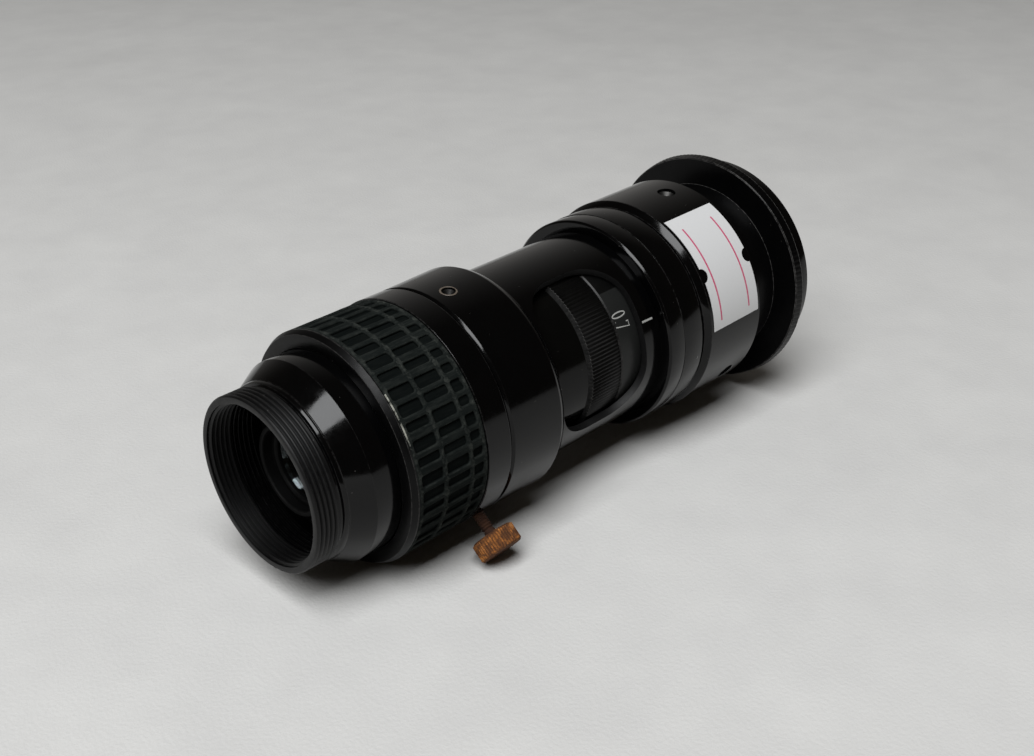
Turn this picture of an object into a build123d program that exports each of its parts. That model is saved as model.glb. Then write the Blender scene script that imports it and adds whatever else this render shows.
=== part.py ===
from build123d import *
import os
from math import acos, asin, atan, atan2, cos, degrees, hypot, pi, radians, sin, tan

os.makedirs("parts", exist_ok=True)

# A zoom lens for a machine camera, lying on its side as it comes to rest.
# All sizes are in millimetres. A station is a distance along the lens axis behind
# the front rim, a clock angle starts at the top and grows towards the viewer's side.

# Fits
running = 0.05        # radial play between parts that move on each other
roomy = 0.3           # air between parts that only pass near each other
seat = 0.02           # air in a joint that is pressed or glued
slotPlay = 0.04       # play of a pin in its slot, each side
edge = 0.2            # small broken edges
pinR = 0.8

# Stations of what shows, front to back
threadEnd = 4.0
coneStart = 4.9
coneEnd = 8.7
ringFace = 13.07
ringLip = 13.98
gripFront = 14.2
gripBack = 27.55
collarBack = 32.2
barrelFront = 32.45
barrelBack = 43.9
indexFront = 69.65
indexBack = 73.4
bandBack = 78.1
clampBack = 93.5
flangeFront = 101.75
flangeBack = 103.6
mountBack = 108.05
cameraThreadLength = 3.9

# Radii, all worked out from the main tube's
tubeR = 16.78
tubeWall = 1.18
housingR = tubeR - tubeWall
sleeveR = tubeR + 0.07
sleeveBoreR = sleeveR - 1.4
flangeStep = sleeveR + 0.5
gripSeatR = flangeStep + 0.6
barRootR = gripSeatR + 0.5
barTopR = barRootR + 0.39
lipR = barTopR + 0.02
ringFaceR = lipR - 0.53
collarR = lipR + 0.14
barrelBackR = collarR + 0.23
indexR = tubeR + 2.06
bandR = indexR + 0.06
clampR = bandR + 0.64
flangeFrontR = clampR + 1.94
flangeBackR = flangeFrontR + 0.28
mountR = clampR + 0.23
adapterR = tubeR - 0.18
adapterBoreR = adapterR - 2.1
cameraThreadR = 12.7
cameraBoreR = cameraThreadR - 1.3

# Nose
neckR = sleeveBoreR + 0.7
noseTailR = sleeveBoreR - running
rimR = neckR - 2.45
threadR = rimR + 0.2
reliefR = rimR - 0.1
coneStartR = rimR + 0.3
neckBack = 18.5
noseBack = 31.0
noseWall = 1.7

# Bore of the nose and the cell that screws into it
boreR = rimR - 0.9
boreDepth = 9.6
cellR = boreR - running
cellFront = 5.4
cellBack = boreDepth + 10.3
frontSeatR = boreR - 6.3
frontLensR = frontSeatR - running
frontLensFront = cellFront + 2.8
frontLensBack = frontLensFront + 3.1
stopFront = frontLensBack + 0.1
stopBack = stopFront + 1.0
innerSeatR = boreR - 4.6
innerLensR = innerSeatR - running
innerLensFront = stopBack + running
innerLensBack = innerLensFront + 3.7

# Grip
barCount = 44          # bars round the grip, between sunk pockets
barLand = 0.6
ridgeWidth = 0.8      # plain rings between the rows of pockets
ridgeMiddles = [gripFront + ridgeWidth / 2, 19.4, 24.45, gripBack - ridgeWidth / 2]

# Focus drive
focusOut = 3.6        # how far the nose comes out from the drawn place
focusIn = 2.4
focusTurnOut = 180
focusTurnIn = 120
sleeveFront = neckBack + focusIn + 1.7
sleeveFlangeBack = sleeveFront + 1.4
focusPinStation = noseBack - 2.6
focusPinEnd = flangeStep + 0.1

# Lock screw
lockStation = 28.8
lockHeadFoot = collarR + 3.85
lockHeadTop = lockHeadFoot + 3.15
lockHeadR = 3.6
lockEdge = 0.3
lockShankR = 1.0
lockTeeth = 46
lockToothDepth = 0.2

# Zoom ring
scaleR = housingR - roomy
knurlR = scaleR - 0.1
hubR = scaleR - 0.8
hubFront = 45.0
knurlFront = 54.1
knurlBack = 61.35
knurlTeeth = 144
scaleBack = 67.2

# Zoom drive
camR = hubR - 0.9
camBoreR = camR - 0.9
guideR = camBoreR - running
guideBoreR = guideR - 0.95
groupR = guideBoreR - running
groupSeatR = groupR - 2.65
groupLensR = groupSeatR - running
housingFront = 37.5
housingBack = 84.0
sleeveBack = housingFront - 0.6
guideFlangeBack = housingFront + 1.9
washerFront = guideFlangeBack + running
washerBack = washerFront + 0.5
camFront = washerBack + 0.25
camBack = 75.0
retainerFront = camBack + 1.0
retainerBack = retainerFront + 2.8
guideBack = retainerBack + 0.2
zoomTurn = 150
frontGroup = 44.0
frontGroupLength = 8.0
frontGroupTravel = 8.0
rearGroup = 68.0
rearGroupLength = 6.0
rearGroupTravel = 5.0

# Window in the housing
windowFront = 45.8
windowBack = 65.9
windowTop = 20.7
windowLow = 117.0
windowCorner = 8.0

# Rear end
adapterFront = housingBack + 0.4
clampScrewStation = 88.8
clampScrewR = 1.6
clampScrewAngle = 4
barrelScrewStation = 36.0
barrelScrewAngle = 6.7
barrelScrewR = 1.1
barrelFrontEdge = 0.4
barrelTaper = 1.1      # length of the slope behind the barrel
barrelTaperDrop = 0.52
rearCellFront = clampScrewStation - 0.8
rearCellBack = rearCellFront + 9.0
rearSeatR = adapterBoreR - 3.5
rearLensR = rearSeatR - running
rearLensFront = rearCellFront + 2.05
rearLensBack = rearLensFront + 3.8
mountFront = rearCellBack + 2.0

# Label
labelFront = 80.4
labelBack = 92.8
labelTop = 23.5
labelLow = 86.5
labelThick = 0.08
labelNotchR = 1.2

# The lens rests on the focus ring's lip, on the flange and on the lock screw's head,
# so the axis climbs a little towards the back.
slope = atan((flangeBackR - lipR) / (flangeBack - ringLip))
lensLength = mountBack + cameraThreadLength
xLow = -rimR * sin(slope)
xHigh = lensLength * cos(slope) + (cameraThreadR - edge) * sin(slope)
axisHeight = lipR * cos(slope) - ringLip * sin(slope)
floorAtLock = lipR + tan(slope) * (lockStation - ringLip)
headReach = lockHeadTop - lockEdge
lockLean = acos(floorAtLock / hypot(headReach, lockHeadR)) + atan2(lockHeadR, headReach)
lockAngle = 180 - degrees(lockLean)
sideReach = max(
    headReach * sin(lockLean) + lockHeadR * cos(lockLean),
    lockHeadTop * sin(lockLean) + (lockHeadR - lockEdge) * cos(lockLean),
)
front = Vector(-(xLow + xHigh) / 2, (sideReach - flangeBackR) / 2, axisHeight)
along = Vector(cos(slope), 0, sin(slope))
above = Vector(-sin(slope), 0, cos(slope))
profile = Plane(origin=front, x_dir=along, z_dir=(0, -1, 0))
lensAxis = Axis(front, along)


def station(s):
    return Plane(origin=front + along * s, x_dir=(0, 1, 0), z_dir=along)


def outward(s, angle, r=0):
    # a plane facing away from the axis, its x running along the lens
    a = radians(angle)
    n = above * cos(a) + Vector(0, -sin(a), 0)
    return Plane(origin=front + along * s + n * r, x_dir=along, z_dir=n)


def turned(*points, mode=Mode.ADD):
    # a full turn of an outline given as station and radius
    with BuildSketch(profile) as outline:
        with BuildLine():
            Polyline(*points, close=True)
        make_face()
    revolve(outline.sketch, axis=lensAxis, mode=mode)


def sector(s1, s2, r1, r2, angle1, angle2, mode=Mode.ADD):
    # part of a ring between two clock angles
    a = radians(angle1)
    n = above * cos(a) + Vector(0, -sin(a), 0)
    side = Plane(origin=front, x_dir=along, z_dir=along.cross(n))
    with BuildSketch(side) as outline:
        with BuildLine():
            Polyline((s1, r1), (s2, r1), (s2, r2), (s1, r2), close=True)
        make_face()
    revolve(outline.sketch, axis=lensAxis, revolution_arc=angle2 - angle1, mode=mode)


def toothed(s1, s2, root, top, count, land, turn=0, mode=Mode.ADD):
    # a straight knurl: teeth with sloping sides, land is the share of a tooth's top
    points = []
    step = 2 * pi / count
    for i in range(count):
        a = step * i + radians(turn)
        for share, r in ((-0.5, root), (-land / 2, top), (land / 2, top)):
            b = a + share * step
            points.append((r * sin(b), r * cos(b)))
    with BuildSketch(station(s1)) as outline:
        with BuildLine():
            Polyline(*points, close=True)
        make_face()
    extrude(outline.sketch, amount=s2 - s1, mode=mode)


def radialHole(s, angle, r1, r2, holeR, mode=Mode.SUBTRACT):
    with BuildSketch(outward(s, angle, r1)) as spot:
        Circle(holeR)
    extrude(spot.sketch, amount=r2 - r1, mode=mode)


def axialSlot(s1, s2, angle, r1, r2, halfWidth):
    with BuildSketch(outward((s1 + s2) / 2, angle, r1)) as spot:
        SlotOverall(s2 - s1 + 2 * halfWidth, 2 * halfWidth)
    extrude(spot.sketch, amount=r2 - r1, mode=Mode.SUBTRACT)


def helixSlot(s, angle, rise, turn, r1, r2, halfWidth):
    # a slot climbing by rise while the clock angle grows by turn
    start = outward(s, angle)
    pitch = abs(rise) * 360 / abs(turn)
    mid = (r1 + r2) / 2
    lead = Helix(pitch=pitch, height=abs(rise), radius=mid, lefthand=rise * turn < 0)
    base = Plane(origin=front + along * s, x_dir=start.z_dir, z_dir=along if rise > 0 else -along)
    path = base.location * lead
    with BuildSketch(Plane(origin=path @ 0, x_dir=start.z_dir, z_dir=path % 0)) as spot:
        Rectangle(r2 - r1, 2 * halfWidth)
    sweep(spot.sketch, path=path, is_frenet=True, mode=Mode.SUBTRACT)
    for share in (0, 1):
        radialHole(s + rise * share, angle + turn * share, r1, r2, halfWidth)


def glass(s1, s2, bulge1, bulge2, r):
    # a lens element: flat rim between two faces, bowed or plane
    with BuildSketch(profile) as outline:
        with BuildLine():
            Polyline((s2, r), (s1, r))
            Line((s1 - bulge1, 0), (s2 + bulge2, 0))
            for s, bulge in ((s1, -bulge1), (s2, bulge2)):
                if bulge:
                    ThreePointArc((s + bulge, 0), (s + bulge * 0.75, r / 2), (s, r))
                else:
                    Line((s, 0), (s, r))
        make_face()
    revolve(outline.sketch, axis=lensAxis)


# Nose: the part that slides out when the lens is focused

with BuildPart() as nose_barrel:
    turned(
        (0, boreR + 0.25), (0, rimR), (0.2, threadR), (threadEnd, threadR),
        (threadEnd + 0.15, reliefR), (coneStart - 0.4, reliefR), (coneStart - 0.25, coneStartR),
        (coneStart, coneStartR), (coneEnd, neckR), (neckBack, neckR), (neckBack, noseTailR),
        (noseBack, noseTailR), (noseBack, noseTailR - noseWall), (cellBack + 2.0, noseTailR - noseWall),
        (cellBack + 2.0, boreR - 1.2), (cellBack, boreR - 1.2), (cellBack, boreR), (0.25, boreR),
    )
    radialHole(focusPinStation, lockAngle + 150, noseTailR - noseWall - 1, noseTailR + 1, pinR)

with BuildPart() as front_cell:
    turned(
        (cellFront, frontSeatR + 0.1), (cellFront, frontSeatR + 0.7), (boreDepth - 0.7, frontSeatR + 2.2),
        (boreDepth, frontSeatR + 2.7), (boreDepth, cellR - edge), (boreDepth + edge, cellR),
        (cellBack, cellR), (cellBack, innerSeatR), (stopBack, innerSeatR), (stopBack, frontSeatR - 0.7),
        (stopFront, frontSeatR - 0.7), (stopFront, frontSeatR), (cellFront + 0.2, frontSeatR),
    )

with BuildPart() as front_lens:
    glass(frontLensFront, frontLensBack, 0.55, 0.0, frontLensR)

with BuildPart() as front_lens_ring:
    turned(
        (frontLensFront - 0.85, frontLensR - 1.05), (frontLensFront - 1.15, frontLensR - 0.75),
        (frontLensFront - 1.15, frontLensR), (frontLensFront - 0.05, frontLensR),
        (frontLensFront - 0.22, frontLensR - 1.05),
    )

with BuildPart() as inner_lens:
    glass(innerLensFront, innerLensBack, 0.0, 1.0, innerLensR)

with BuildPart() as inner_lens_ring:
    turned(
        (innerLensBack + 0.35, innerLensR - 1.05), (innerLensBack + 2.0, innerLensR - 1.05),
        (innerLensBack + 2.0, innerLensR), (innerLensBack + 0.05, innerLensR),
    )

with BuildPart() as focus_pin:
    radialHole(focusPinStation, lockAngle + 150, noseTailR - noseWall + 0.05, focusPinEnd, pinR,
               mode=Mode.ADD)
    chamfer(focus_pin.faces().filter_by(GeomType.PLANE).edges(), 0.15)

# Focus ring with its rubber grip and lock screw

with BuildPart() as focus_ring:
    turned(
        (gripFront + running, flangeStep + running), (gripFront + running, gripSeatR - seat),
        (gripBack + seat, gripSeatR - seat), (gripBack + seat, collarR - edge),
        (gripBack + seat + edge, collarR), (collarBack - edge, collarR),
        (collarBack, collarR - edge), (collarBack, sleeveR + running),
        (sleeveFlangeBack + running, sleeveR + running),
        (sleeveFlangeBack + running, flangeStep + running),
    )
    helixSlot(
        focusPinStation + focusIn, lockAngle + 150 - focusTurnIn, -(focusIn + focusOut),
        focusTurnIn + focusTurnOut, sleeveR - 0.3, focusPinEnd + 0.1, pinR + slotPlay,
    )
    radialHole(lockStation, lockAngle, sleeveR - 0.5, collarR + 1, lockShankR + running)

with BuildPart() as focus_front_ring:
    turned(
        (ringFace, neckR + 0.1), (ringFace, ringFaceR), (ringLip, lipR), (gripFront - seat, lipR),
        (gripFront - seat, flangeStep + running - seat), (neckBack - 0.5, flangeStep + running - seat),
        (neckBack - 0.5, neckR + 0.1),
    )

with BuildPart() as focus_grip:
    turned((gripFront, gripSeatR), (gripFront, barRootR), (gripBack, barRootR), (gripBack, gripSeatR))
    for s in ridgeMiddles:
        s1, s2 = s - ridgeWidth / 2, s + ridgeWidth / 2
        turned((s1, gripSeatR), (s1, barTopR), (s2, barTopR), (s2, gripSeatR))
    for ahead, behind in zip(ridgeMiddles[:-1], ridgeMiddles[1:]):
        toothed(ahead + ridgeWidth / 2, behind - ridgeWidth / 2, barRootR, barTopR, barCount, barLand)
    turned(
        (gripFront - 1, 0), (gripFront - 1, gripSeatR), (gripBack + 1, gripSeatR), (gripBack + 1, 0),
        mode=Mode.SUBTRACT,
    )

with BuildPart() as lock_thumbscrew:
    headPlane = outward(lockStation, lockAngle, lockHeadFoot)
    points = []
    for i in range(lockTeeth):
        for share, r in ((-0.5, lockHeadR - lockToothDepth), (-0.15, lockHeadR), (0.15, lockHeadR)):
            b = 2 * pi * (i + share) / lockTeeth
            points.append((r * sin(b), r * cos(b)))
    with BuildSketch(headPlane) as head:
        with BuildLine():
            Polyline(*points, close=True)
        make_face()
    extrude(head.sketch, amount=lockHeadTop - lockHeadFoot)
    headSide = Plane(origin=headPlane.origin, x_dir=along, z_dir=along.cross(headPlane.z_dir))
    with BuildSketch(headSide) as cone:
        with BuildLine():
            Polyline((0, 0), (lockHeadR - lockEdge, 0), (lockHeadR, lockEdge),
                     (lockHeadR, lockHeadTop - lockHeadFoot - lockEdge),
                     (lockHeadR - lockEdge, lockHeadTop - lockHeadFoot),
                     (0, lockHeadTop - lockHeadFoot), close=True)
        make_face()
    revolve(cone.sketch, axis=Axis(headPlane.origin, headPlane.z_dir), mode=Mode.INTERSECT)
    radialHole(lockStation, lockAngle, sleeveR + 0.1, lockHeadFoot, lockShankR, mode=Mode.ADD)

# Fixed body, front to back

with BuildPart() as focus_sleeve:
    turned(
        (sleeveFront, sleeveBoreR), (sleeveFront, flangeStep), (sleeveFlangeBack, flangeStep),
        (sleeveFlangeBack, sleeveR), (barrelFront, sleeveR), (barrelFront, sleeveR - 0.15),
        (sleeveBack, sleeveR - 0.15), (sleeveBack, sleeveBoreR),
    )
    axialSlot(
        focusPinStation - focusOut, focusPinStation + focusIn, lockAngle + 150,
        sleeveBoreR - 0.5, flangeStep + 0.5, pinR + slotPlay,
    )

with BuildPart() as focus_barrel:
    turned(
        (barrelFront + seat, sleeveR - 0.15 + seat), (barrelFront + seat, collarR - barrelFrontEdge),
        (barrelFront + seat + barrelFrontEdge, collarR), (barrelBack - barrelTaper, barrelBackR),
        (barrelBack, barrelBackR - barrelTaperDrop), (barrelBack, tubeR + seat), (housingFront, tubeR + seat),
        (housingFront, sleeveBoreR), (sleeveBack + seat, sleeveBoreR),
        (sleeveBack + seat, sleeveR - 0.15 + seat),
    )
    radialHole(barrelScrewStation, barrelScrewAngle, sleeveR - 0.5, barrelBackR + 1, barrelScrewR)

with BuildPart() as barrel_screw:
    radialHole(barrelScrewStation, barrelScrewAngle, sleeveR - 0.1, collarR - 0.15,
               barrelScrewR - seat, mode=Mode.ADD)
    with BuildSketch(outward(barrelScrewStation, barrelScrewAngle, collarR - 0.9)) as socket:
        RegularPolygon(0.5, 6)
    extrude(socket.sketch, amount=1.5, mode=Mode.SUBTRACT)

windowTilt = degrees(asin(windowCorner / tubeR))
windowMid = (windowFront + windowBack) / 2

with BuildPart() as zoom_housing:
    turned((housingFront + seat, housingR), (housingFront + seat, tubeR), (housingBack, tubeR),
           (housingBack, housingR))
    sector(windowFront, windowBack, housingR - 1, tubeR + 1, windowTop + windowTilt,
           windowLow - windowTilt, mode=Mode.SUBTRACT)
    for angle in (windowTop + windowTilt, windowLow - windowTilt):
        with BuildSketch(outward(windowMid, angle, housingR / 2)) as opening:
            SlotOverall(windowBack - windowFront, 2 * windowCorner)
        extrude(opening.sketch, amount=tubeR, mode=Mode.SUBTRACT)

with BuildPart() as guide_tube:
    turned(
        (housingFront + seat, guideBoreR), (housingFront + seat, housingR - seat),
        (guideFlangeBack, housingR - seat), (guideFlangeBack, guideR), (guideBack, guideR),
        (guideBack, guideBoreR),
    )
    for angle in (-80, 100):
        pin1 = frontGroup + frontGroupLength / 2
        pin2 = rearGroup + rearGroupLength / 2
        axialSlot(pin1, pin1 + frontGroupTravel, angle, guideBoreR - 1, camR, pinR + slotPlay)
        axialSlot(pin2 - rearGroupTravel, pin2, angle, guideBoreR - 1, camR, pinR + slotPlay)

with BuildPart() as thrust_washer:
    turned((washerFront, guideR + running), (washerFront, housingR - 0.4),
           (washerBack, housingR - 0.4), (washerBack, guideR + running))

with BuildPart() as guide_retainer:
    turned((retainerFront, guideR + seat), (retainerFront, housingR - seat),
           (retainerBack, housingR - seat), (retainerBack, guideR + seat))

with BuildPart() as index_ring:
    turned(
        (indexFront, tubeR + seat), (indexFront, indexR - 0.35), (indexFront + 0.35, indexR),
        (indexBack - 0.08, indexR), (indexBack, indexR - 0.08), (indexBack, tubeR + seat),
    )

with BuildPart() as name_band:
    turned(
        (indexBack + seat, tubeR + seat), (indexBack + seat, bandR - 0.1), (indexBack + 0.12, bandR),
        (bandBack - 0.1, bandR), (bandBack, bandR - 0.1), (bandBack, tubeR + seat),
    )

with BuildPart() as clamp_barrel:
    turned(
        (bandBack + seat, tubeR + seat), (bandBack + seat, clampR - 1.34), (bandBack + 0.75, clampR - 1.34),
        (bandBack + 0.75, clampR - 0.94), (bandBack + 1.7, clampR), (clampBack - edge, clampR),
        (clampBack, clampR - edge), (clampBack, adapterR + seat), (housingBack + 0.1, adapterR + seat),
        (housingBack + 0.1, tubeR + seat),
    )
    for i in range(3):
        radialHole(clampScrewStation, clampScrewAngle + 120 * i, adapterR - 1, clampR + 1, clampScrewR)

with BuildPart() as clamp_screws:
    for i in range(3):
        angle = clampScrewAngle + 120 * i
        radialHole(clampScrewStation, angle, adapterR - 0.45, clampR - 0.55, clampScrewR - seat,
                   mode=Mode.ADD)
        with BuildSketch(outward(clampScrewStation, angle, clampR - 1.9)) as socket:
            RegularPolygon(0.8, 6)
        extrude(socket.sketch, amount=3, mode=Mode.SUBTRACT)

with BuildPart() as price_label:
    sector(labelFront, labelBack, clampR, clampR + labelThick, labelTop, labelLow)
    for s in (labelFront, labelBack):
        radialHole(s, (labelTop + labelLow) / 2 + 2, clampR - 1, clampR + 1, labelNotchR)

with BuildPart() as camera_adapter:
    turned(
        (adapterFront, adapterBoreR), (adapterFront, adapterR - edge), (adapterFront + edge, adapterR),
        (clampScrewStation - 1.9, adapterR), (clampScrewStation - 1.6, adapterR - 0.5),
        (clampScrewStation + 1.6, adapterR - 0.5), (clampScrewStation + 1.9, adapterR),
        (flangeFront, adapterR), (flangeFront, flangeFrontR - 1.5), (flangeBack, flangeFrontR - 1.5),
        (flangeBack, adapterBoreR),
    )
    toothed(flangeFront, flangeBack, flangeBackR - 0.22, flangeBackR, 150, 0.3)
    turned(
        (flangeFront - 1, adapterR + 1), (flangeFront - 1, flangeFrontR - 0.28),
        (flangeFront, flangeFrontR), (flangeBack - 0.1, flangeBackR), (flangeBack + 1, flangeBackR),
        (flangeBack + 1, flangeBackR + 5), (flangeFront - 2, flangeBackR + 5),
        (flangeFront - 2, adapterR + 1), mode=Mode.SUBTRACT,
    )
    turned((flangeFront - 3, 0), (flangeFront - 3, adapterBoreR), (flangeBack + 1, adapterBoreR),
           (flangeBack + 1, 0), mode=Mode.SUBTRACT)

with BuildPart() as mount_ring:
    turned(
        (mountFront, cameraBoreR), (mountFront, adapterBoreR - seat),
        (flangeBack + seat, adapterBoreR - seat), (flangeBack + seat, mountR),
        (mountBack - 0.3, mountR), (mountBack, mountR - 0.3),
        (mountBack, cameraThreadR), (lensLength - edge, cameraThreadR),
        (lensLength, cameraThreadR - edge), (lensLength, cameraBoreR),
    )

with BuildPart() as rear_cell:
    turned(
        (rearCellFront, rearSeatR - 1.4), (rearCellFront, adapterBoreR - seat),
        (rearCellBack, adapterBoreR - seat), (rearCellBack, rearSeatR), (rearCellFront + 2, rearSeatR),
        (rearCellFront + 2, rearSeatR - 1.4),
    )

with BuildPart() as rear_lens:
    glass(rearLensFront, rearLensBack, 0.0, 1.2, rearLensR)

with BuildPart() as rear_lens_ring:
    turned(
        (rearLensBack + 0.35, rearLensR - 1.05), (rearLensBack + 1.9, rearLensR - 1.05),
        (rearLensBack + 1.9, rearLensR), (rearLensBack + 0.05, rearLensR),
    )

# Zoom ring and the tube it turns

with BuildPart() as zoom_ring:
    turned((hubFront, camR), (hubFront, hubR - edge), (hubFront + edge, hubR), (knurlFront, hubR),
           (knurlFront, camR))
    toothed(knurlFront, knurlBack, knurlR - 0.22, knurlR, knurlTeeth, 0.3)
    turned(
        (knurlFront - 1, knurlR + 5), (knurlFront - 1, knurlR - 1.35), (knurlFront + 0.35, knurlR),
        (knurlFront + 0.35, knurlR + 5), mode=Mode.SUBTRACT,
    )
    turned((knurlFront, camR), (knurlFront, hubR), (knurlBack, hubR), (knurlBack, camR))
    turned((knurlBack, camR), (knurlBack, scaleR - 0.3), (knurlBack + 0.3, scaleR),
           (scaleBack, scaleR), (scaleBack, camR))
    turned((hubFront - 1, 0), (hubFront - 1, camR), (scaleBack + 1, camR), (scaleBack + 1, 0),
           mode=Mode.SUBTRACT)

with BuildPart() as cam_tube:
    turned((camFront, camBoreR), (camFront, camR), (camBack, camR), (camBack, camBoreR))
    for angle in (-80, 100):
        pin1 = frontGroup + frontGroupLength / 2
        pin2 = rearGroup + rearGroupLength / 2
        helixSlot(pin1, angle, frontGroupTravel, zoomTurn, camBoreR - 0.4, camR + 0.4,
                  pinR + slotPlay)
        helixSlot(pin2, angle, -rearGroupTravel, zoomTurn, camBoreR - 0.4, camR + 0.4,
                  pinR + slotPlay)

# The two sliding lens groups


def groupCell(s, length):
    turned((s, groupSeatR - 1), (s, groupR - edge), (s + edge, groupR), (s + length - edge, groupR),
           (s + length, groupR - edge), (s + length, groupSeatR), (s + 1.2, groupSeatR),
           (s + 1.2, groupSeatR - 1))
    for angle in (-80, 100):
        radialHole(s + length / 2, angle, groupSeatR + 1, camR, pinR)


def groupPins(s, length):
    for angle in (-80, 100):
        radialHole(s + length / 2, angle, groupSeatR + 1, camR - 0.1, pinR, mode=Mode.ADD)


def groupRing(s):
    # holds a group's lens, whose bowed face ends at this station
    turned((s + 0.25, groupLensR - 0.85), (s + 1.75, groupLensR - 0.85), (s + 1.75, groupLensR),
           (s + 0.05, groupLensR))


with BuildPart() as front_group_cell:
    groupCell(frontGroup, frontGroupLength)

with BuildPart() as front_group_lens:
    glass(frontGroup + 1.25, frontGroup + 4.6, 0.0, 0.8, groupLensR)

with BuildPart() as front_group_ring:
    groupRing(frontGroup + 4.6)

with BuildPart() as front_group_pins:
    groupPins(frontGroup, frontGroupLength)

with BuildPart() as rear_group_cell:
    groupCell(rearGroup, rearGroupLength)

with BuildPart() as rear_group_lens:
    glass(rearGroup + 1.25, rearGroup + 3.8, 0.0, 0.5, groupLensR)

with BuildPart() as rear_group_ring:
    groupRing(rearGroup + 3.8)

with BuildPart() as rear_group_pins:
    groupPins(rearGroup, rearGroupLength)

pieces = {
    "nose_barrel": nose_barrel, "front_cell": front_cell, "front_lens": front_lens,
    "front_lens_ring": front_lens_ring, "inner_lens": inner_lens,
    "inner_lens_ring": inner_lens_ring, "focus_pin": focus_pin, "focus_ring": focus_ring,
    "focus_front_ring": focus_front_ring, "focus_grip": focus_grip,
    "lock_thumbscrew": lock_thumbscrew, "focus_sleeve": focus_sleeve,
    "focus_barrel": focus_barrel, "barrel_screw": barrel_screw, "zoom_housing": zoom_housing,
    "guide_tube": guide_tube, "thrust_washer": thrust_washer, "guide_retainer": guide_retainer,
    "index_ring": index_ring, "name_band": name_band, "clamp_barrel": clamp_barrel,
    "clamp_screws": clamp_screws, "price_label": price_label, "camera_adapter": camera_adapter,
    "mount_ring": mount_ring, "rear_cell": rear_cell, "rear_lens": rear_lens,
    "rear_lens_ring": rear_lens_ring, "zoom_ring": zoom_ring, "cam_tube": cam_tube,
    "front_group_cell": front_group_cell, "front_group_lens": front_group_lens,
    "front_group_ring": front_group_ring, "front_group_pins": front_group_pins,
    "rear_group_cell": rear_group_cell, "rear_group_lens": rear_group_lens,
    "rear_group_ring": rear_group_ring, "rear_group_pins": rear_group_pins,
}
for label, piece in pieces.items():
    piece.part.label = label
    export_step(piece.part, f"parts/{label}.step")
    print(label, len(piece.part.solids()), round(piece.part.volume, 1))
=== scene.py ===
import random
import bpy
import bmesh
from math import atan2, cos, degrees, pi, radians, sin, sqrt
from mathutils import Matrix, Vector


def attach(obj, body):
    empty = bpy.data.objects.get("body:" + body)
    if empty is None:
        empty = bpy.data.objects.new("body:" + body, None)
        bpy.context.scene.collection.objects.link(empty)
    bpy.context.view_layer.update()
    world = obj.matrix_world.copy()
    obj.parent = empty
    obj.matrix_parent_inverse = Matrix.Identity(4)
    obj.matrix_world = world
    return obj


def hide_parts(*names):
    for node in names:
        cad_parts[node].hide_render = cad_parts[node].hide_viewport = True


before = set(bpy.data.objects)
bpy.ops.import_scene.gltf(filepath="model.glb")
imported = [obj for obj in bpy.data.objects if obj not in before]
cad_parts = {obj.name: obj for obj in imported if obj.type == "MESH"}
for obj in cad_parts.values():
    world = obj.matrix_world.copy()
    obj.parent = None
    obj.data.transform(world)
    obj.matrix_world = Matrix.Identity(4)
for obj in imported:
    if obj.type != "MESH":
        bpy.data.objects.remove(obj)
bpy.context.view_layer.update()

print("frame loaded")

# Everything is modelled in millimetres along the lens: x is the distance behind the
# front rim, z is up and y points away from the viewer. place puts it where the lens lies.
lens = {"front": (-55.92631, 0.11368, 18.39799), "slope": 1.8533787}
place = (Matrix.Translation(Vector(lens["front"]) * 0.001)
         @ Matrix.Rotation(-radians(lens["slope"]), 4, "Y") @ Matrix.Scale(0.001, 4))


def clockPoint(s, angle, r):
    # clock angles start at the top and grow towards the viewer
    a = radians(angle)
    return Vector((s, -r * sin(a), r * cos(a)))


def clockFrame(s, angle, r=0):
    # x along the lens, z outward
    a = radians(angle)
    z = Vector((0, -sin(a), cos(a)))
    x = Vector((1, 0, 0))
    y = z.cross(x)
    m = Matrix((x, y, z)).transposed().to_4x4()
    return Matrix.Translation(clockPoint(s, angle, r)) @ m


# materials

def newMaterial(name):
    material = bpy.data.materials.new(name)
    material.use_nodes = True
    nodes = material.node_tree.nodes
    nodes.clear()
    out = nodes.new("ShaderNodeOutputMaterial")
    shader = nodes.new("ShaderNodeBsdfPrincipled")
    material.node_tree.links.new(shader.outputs[0], out.inputs[0])
    return material, shader


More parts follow.
